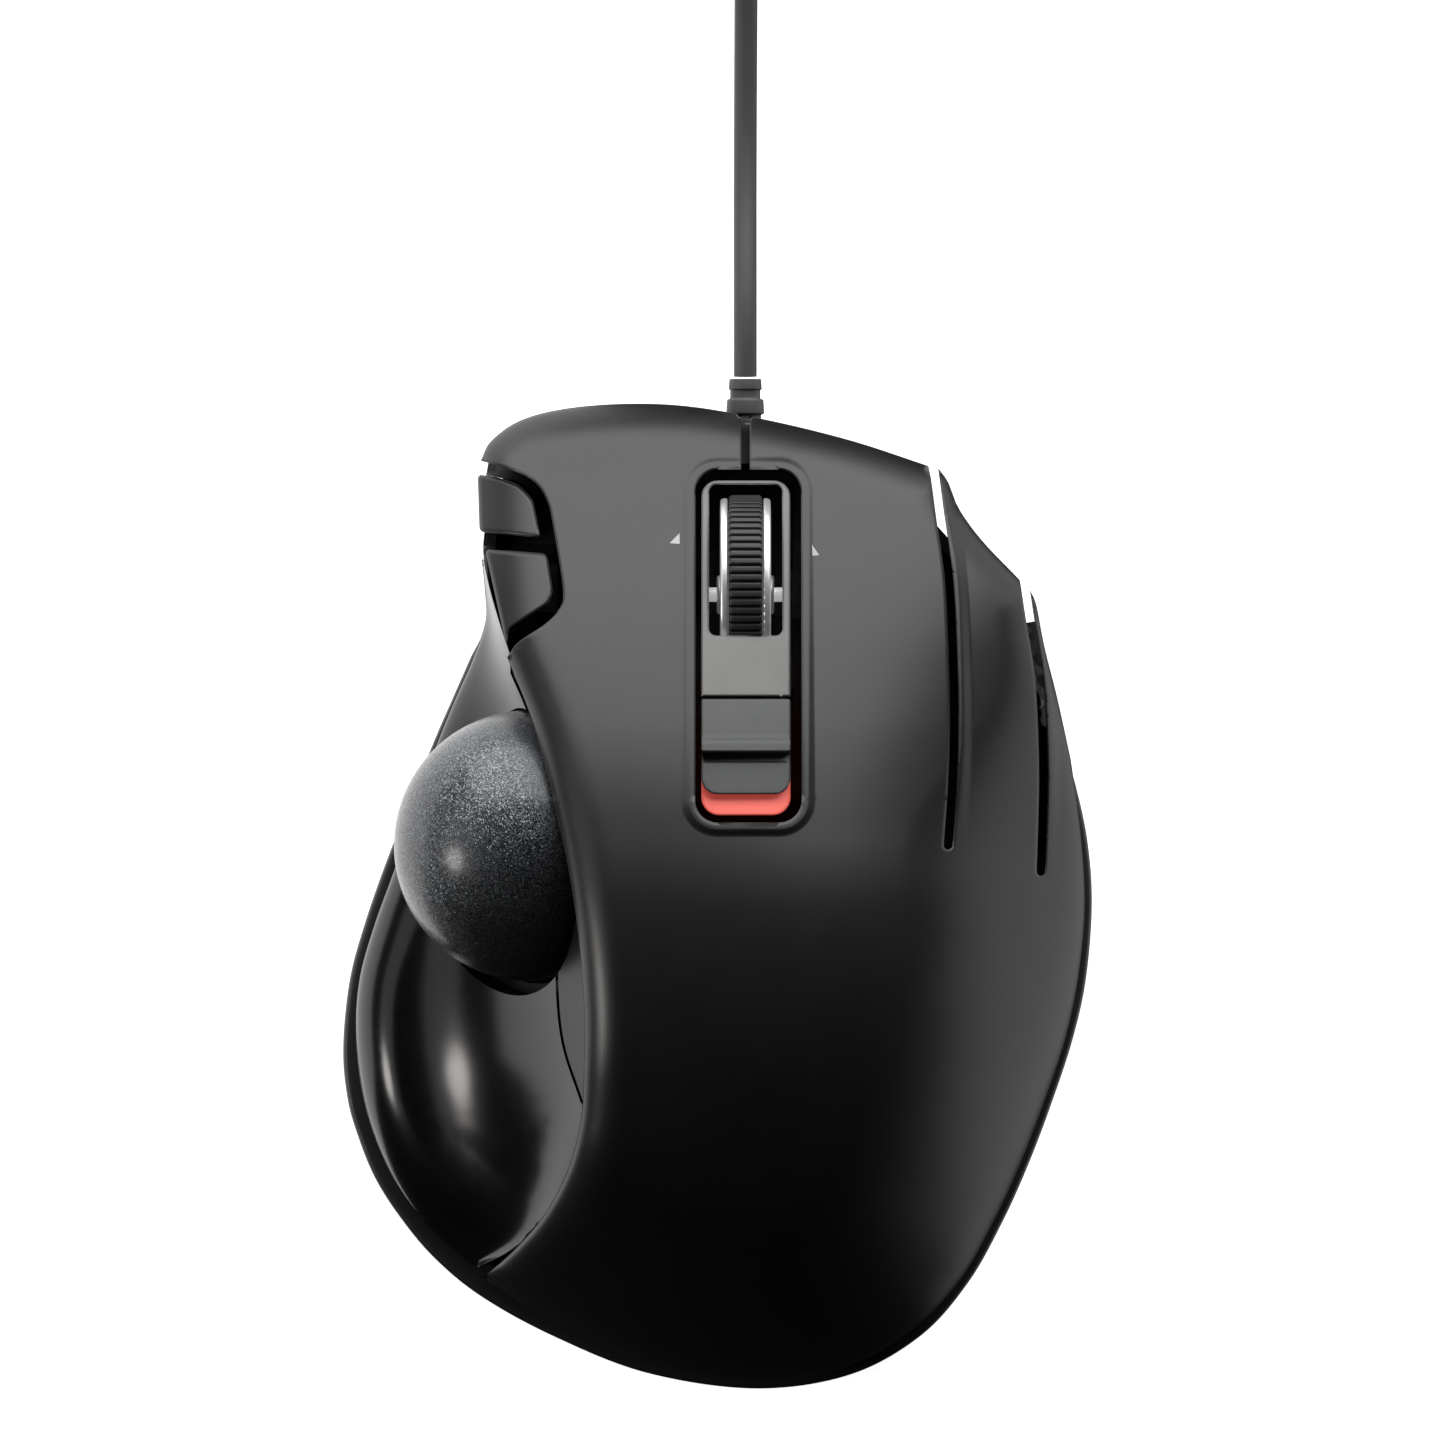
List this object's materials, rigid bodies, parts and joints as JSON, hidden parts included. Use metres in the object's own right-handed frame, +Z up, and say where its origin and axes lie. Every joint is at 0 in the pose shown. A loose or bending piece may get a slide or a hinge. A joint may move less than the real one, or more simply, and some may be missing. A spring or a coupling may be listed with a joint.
{
  "type": "trackball mouse",
  "caption": "Corded thumb trackball mouse: matte black shell with split fingers, glossy thumb panel, flaked ball, ribbed tilt wheel, side buttons, speed slider, coiled cord with flat plug.",
  "frame": {"origin": "on the desk, under the middle of the mouse's body", "axes": "+Z up, +Y to the front where the cord leaves, +X to the user's right"},
  "size_m": [0.0948, 0.2324, 0.0479],
  "materials": {
    "cover_skin": "fine matte black moulded plastic",
    "inner_black": "black moulded plastic inside the recesses",
    "thumb_panel_gloss": "piano black",
    "base_plastic": "black moulded plastic",
    "ball_resin": "black resin with fine silver flake",
    "bezel_grey": "warm grey metallic paint",
    "slider_grey": "dark grey satin plastic",
    "marker_coral": "coral satin plastic",
    "wheel_rubber": "ribbed black rubber",
    "wheel_chrome": "bright plated rims",
    "steel": "plain steel",
    "mechanism_white": "natural white acetal",
    "switch_black": "black switch housings",
    "board": "black solder mask",
    "bearing_ruby": "synthetic ruby",
    "sensor_lens_clear": "clear moulded lens",
    "cord_jacket": "dark grey jacket",
    "boot_rubber": "dark grey soft moulding",
    "foot_pad": "dark grey glide pad"
  },
  "bodies": {
    "case": {"back_switch": "switch_black", "ball_cup": "inner_black", "ball_sensor": "inner_black", "ball_surround_front": "inner_black", "ball_surround_rear": "inner_black", "base_case": "base_plastic", "controller_chip": "inner_black", "cord_coil": "cord_jacket", "cord_connector": "mechanism_white", "cord_run": "cord_jacket", "cord_tail": "cord_jacket", "cord_tie": "cord_jacket", "foot_1": "foot_pad", "foot_2": "foot_pad", "foot_3": "foot_pad", "foot_4": "foot_pad", "foot_5": "foot_pad", "forward_switch": "switch_black", "left_switch": "switch_black", "main_board": "board", "middle_switch": "switch_black", "palm_cover": "cover_skin", "plug_body": "boot_rubber", "plug_shell": "steel", "plug_tongue": "mechanism_white", "rating_plate": "foot_pad", "right_switch": "switch_black", "screw_1": "steel", "screw_2": "steel", "screw_3": "steel", "screw_4": "steel", "sensor_board": "board", "sensor_lens": "sensor_lens_clear", "side_board": "board", "speed_marker": "marker_coral", "strain_relief": "boot_rubber", "support_bearing_1": "bearing_ruby", "support_bearing_2": "bearing_ruby", "support_bearing_3": "bearing_ruby", "thumb_panel": "thumb_panel_gloss", "wheel_bezel": "bezel_grey"},
    "trackball": {"trackball": "ball_resin"},
    "left_main_button": {"left_button": "cover_skin"},
    "right_main_button": {"right_button": "cover_skin"},
    "front_side_button": {"forward_button": "cover_skin"},
    "rear_side_button": {"back_button": "cover_skin"},
    "wheel_carrier": {"wheel_frame": "inner_black", "tilt_switch_left": "switch_black", "tilt_switch_right": "switch_black"},
    "wheel_tilter": {"wheel_cradle": "inner_black", "scroll_encoder": "board"},
    "scroll_wheel": {"scroll_tyre": "wheel_rubber", "scroll_hub": "wheel_chrome", "scroll_axle": "steel"},
    "slider": {"speed_slider": "slider_grey"},
    "left_switch_plunger": {"left_plunger": "mechanism_white"},
    "right_switch_plunger": {"right_plunger": "mechanism_white"},
    "forward_switch_plunger": {"forward_plunger": "mechanism_white"},
    "back_switch_plunger": {"back_plunger": "mechanism_white"},
    "middle_switch_plunger": {"middle_plunger": "mechanism_white"}
  },
  "joints": [
    {"name": "ball_roll", "type": "hinge", "parent": "case", "child": "trackball", "pos_m": [-0.0236, 0.0066, 0.0226], "axis": [1, 0, 0], "continuous": true},
    {"name": "left_click", "type": "hinge", "parent": "case", "child": "left_main_button", "pos_m": [-0.011, 0.0125, 0.043], "axis": [-1, 0, 0], "range_deg": [0, 0.6], "stiffness_Nm_per_rad": 1, "springref_deg": -0.34},
    {"name": "right_click", "type": "hinge", "parent": "case", "child": "right_main_button", "pos_m": [0.019, 0.0125, 0.037], "axis": [-1, 0, 0], "range_deg": [0, 0.6], "stiffness_Nm_per_rad": 1, "springref_deg": -0.34},
    {"name": "forward_click", "type": "hinge", "parent": "case", "child": "front_side_button", "pos_m": [-0.0222, 0.049, 0.021], "axis": [0, -1, 0], "range_deg": [0, 3.5], "stiffness_Nm_per_rad": 0.05, "springref_deg": -1.72},
    {"name": "back_click", "type": "hinge", "parent": "case", "child": "rear_side_button", "pos_m": [-0.0208, 0.04, 0.026], "axis": [0, -1, 0], "range_deg": [0, 3.5], "stiffness_Nm_per_rad": 0.05, "springref_deg": -1.72},
    {"name": "wheel_press", "type": "slide", "parent": "case", "child": "wheel_carrier", "axis": [0, 0, -1], "range_m": [0, 0.0006], "stiffness_N_per_m": 800, "springref_m": -0.0003},
    {"name": "wheel_tilt", "type": "hinge", "parent": "wheel_carrier", "child": "wheel_tilter", "pos_m": [0.0035, 0.0381, 0.012], "axis": [0, 1, 0], "range_deg": [-3, 3], "stiffness_Nm_per_rad": 0.1},
    {"name": "wheel_spin", "type": "hinge", "parent": "wheel_tilter", "child": "scroll_wheel", "pos_m": [0.0035, 0.0381, 0.0218], "axis": [1, 0, 0], "continuous": true},
    {"name": "speed_slide", "type": "slide", "parent": "case", "child": "slider", "axis": [0, -0.927, 0.375], "range_m": [0, 0.0024]},
    {"name": "left_switch_press", "type": "slide", "parent": "case", "child": "left_switch_plunger", "axis": [0, 0, -1], "range_m": [0, 0.0004]},
    {"name": "right_switch_press", "type": "slide", "parent": "case", "child": "right_switch_plunger", "axis": [0, 0, -1], "range_m": [0, 0.0004]},
    {"name": "forward_switch_press", "type": "slide", "parent": "case", "child": "forward_switch_plunger", "axis": [0, 0, -1], "range_m": [0, 0.0004]},
    {"name": "back_switch_press", "type": "slide", "parent": "case", "child": "back_switch_plunger", "axis": [0, 0, -1], "range_m": [0, 0.0004]},
    {"name": "middle_switch_press", "type": "slide", "parent": "case", "child": "middle_switch_plunger", "axis": [0, 0, -1], "range_m": [0, 0.0006]}
  ],
  "couplings": [
    {"joint": "left_switch_press", "follows": "left_click", "m_per_rad": 0.035},
    {"joint": "right_switch_press", "follows": "right_click", "m_per_rad": 0.0315},
    {"joint": "forward_switch_press", "follows": "forward_click", "m_per_rad": 0.0032},
    {"joint": "back_switch_press", "follows": "back_click", "m_per_rad": 0.0044},
    {"joint": "middle_switch_press", "follows": "wheel_press", "ratio": 0.7}
  ]
}
